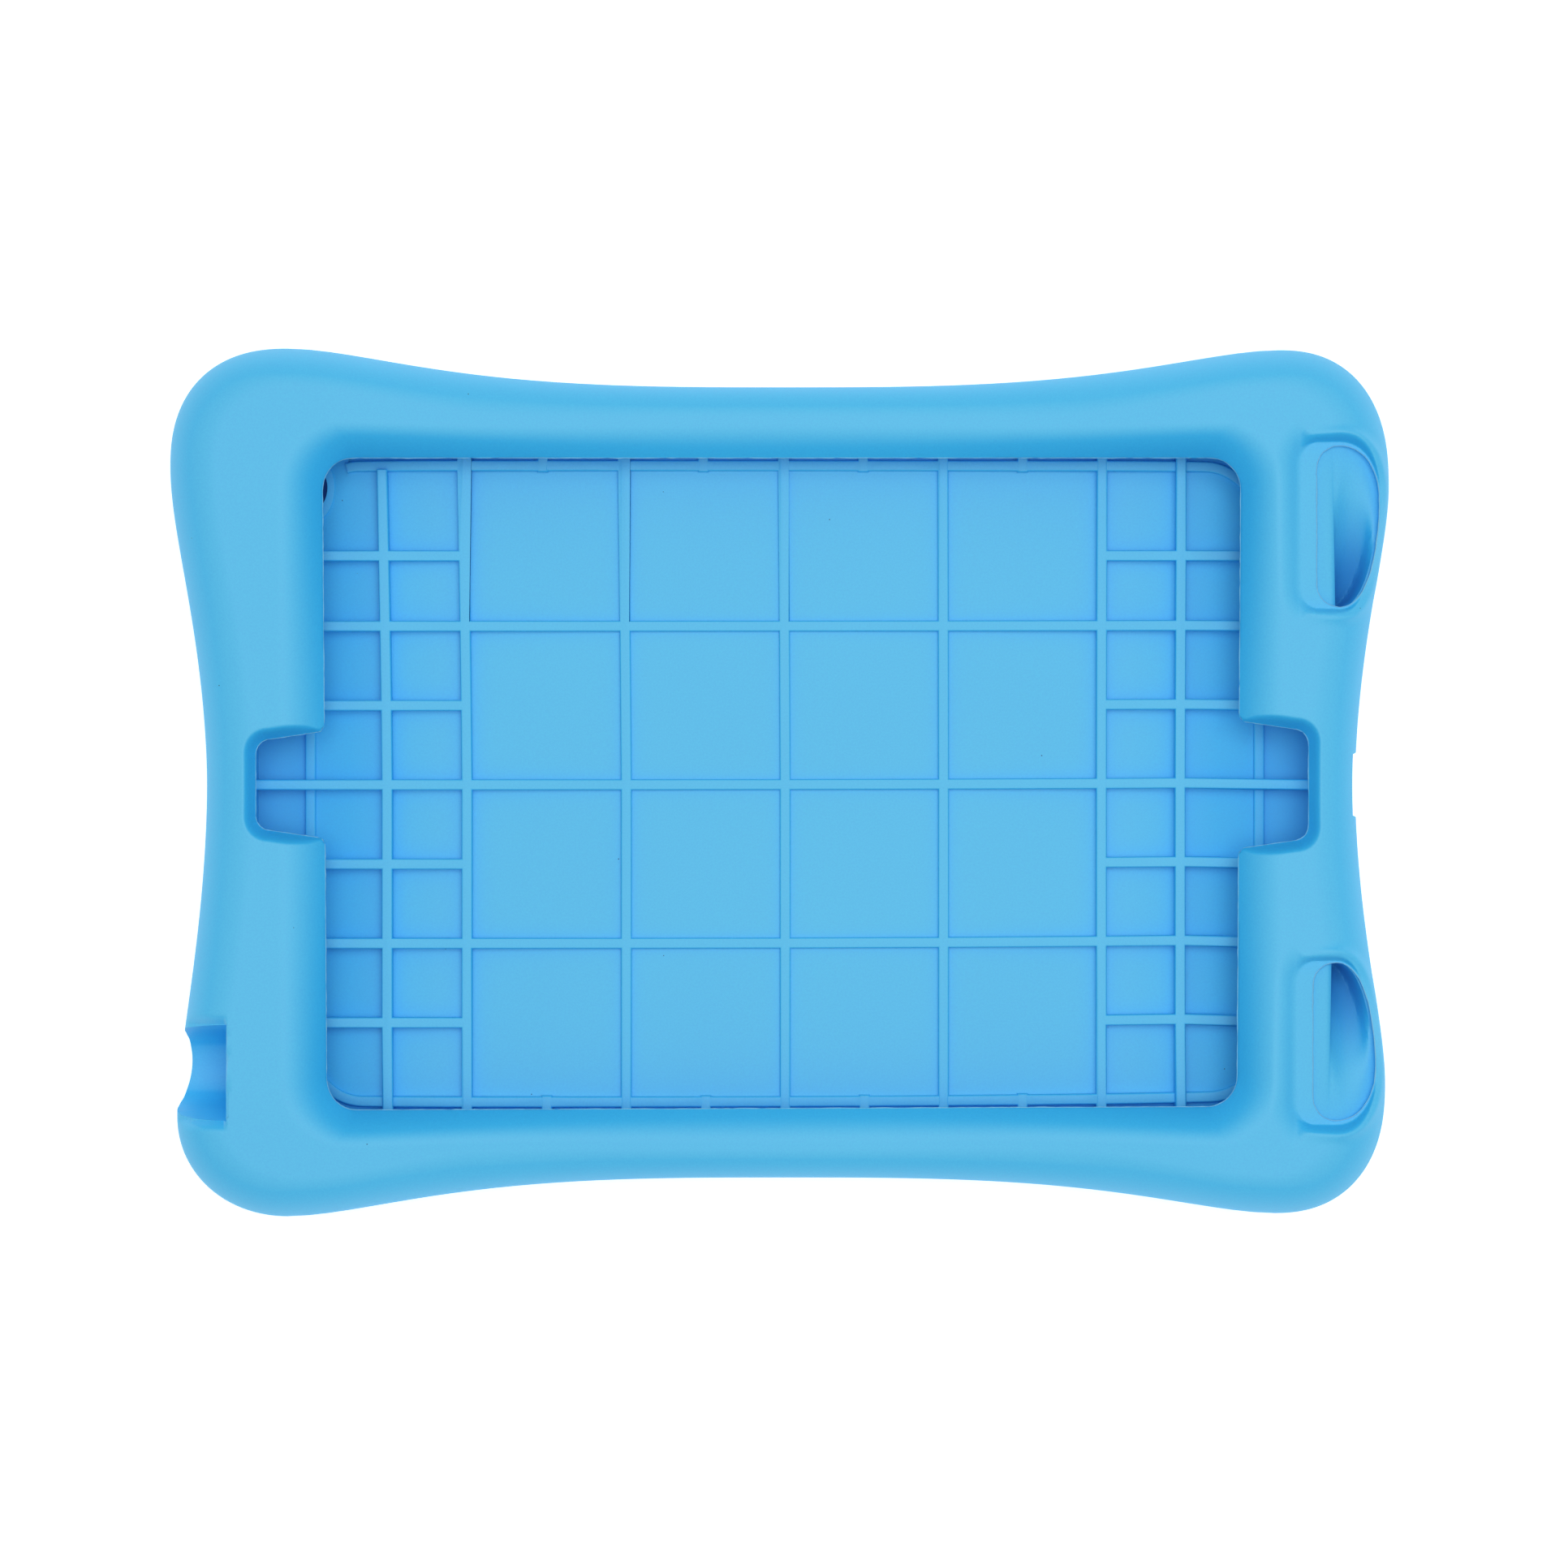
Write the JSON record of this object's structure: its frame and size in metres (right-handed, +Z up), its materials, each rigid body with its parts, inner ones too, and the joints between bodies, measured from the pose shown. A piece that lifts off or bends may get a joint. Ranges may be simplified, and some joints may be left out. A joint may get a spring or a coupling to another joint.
{
  "type": "shockproof tablet case",
  "caption": "soft one-piece moulded shell with padded corners that grips a small tablet, with an open window, lip notches, speaker scoops, plug and port cut-outs and a ribbed arched back",
  "frame": {"origin": "on the table, under the middle of the shell's outline", "axes": "+X along the tablet towards the charging port, +Y towards the camera hole's long side, +Z up out of the window"},
  "size_m": [0.2294, 0.1634, 0.021],
  "materials": {
    "silicone": "matte"
  },
  "bodies": {
    "root": {"case_shell": "silicone"}
  },
  "joints": []
}
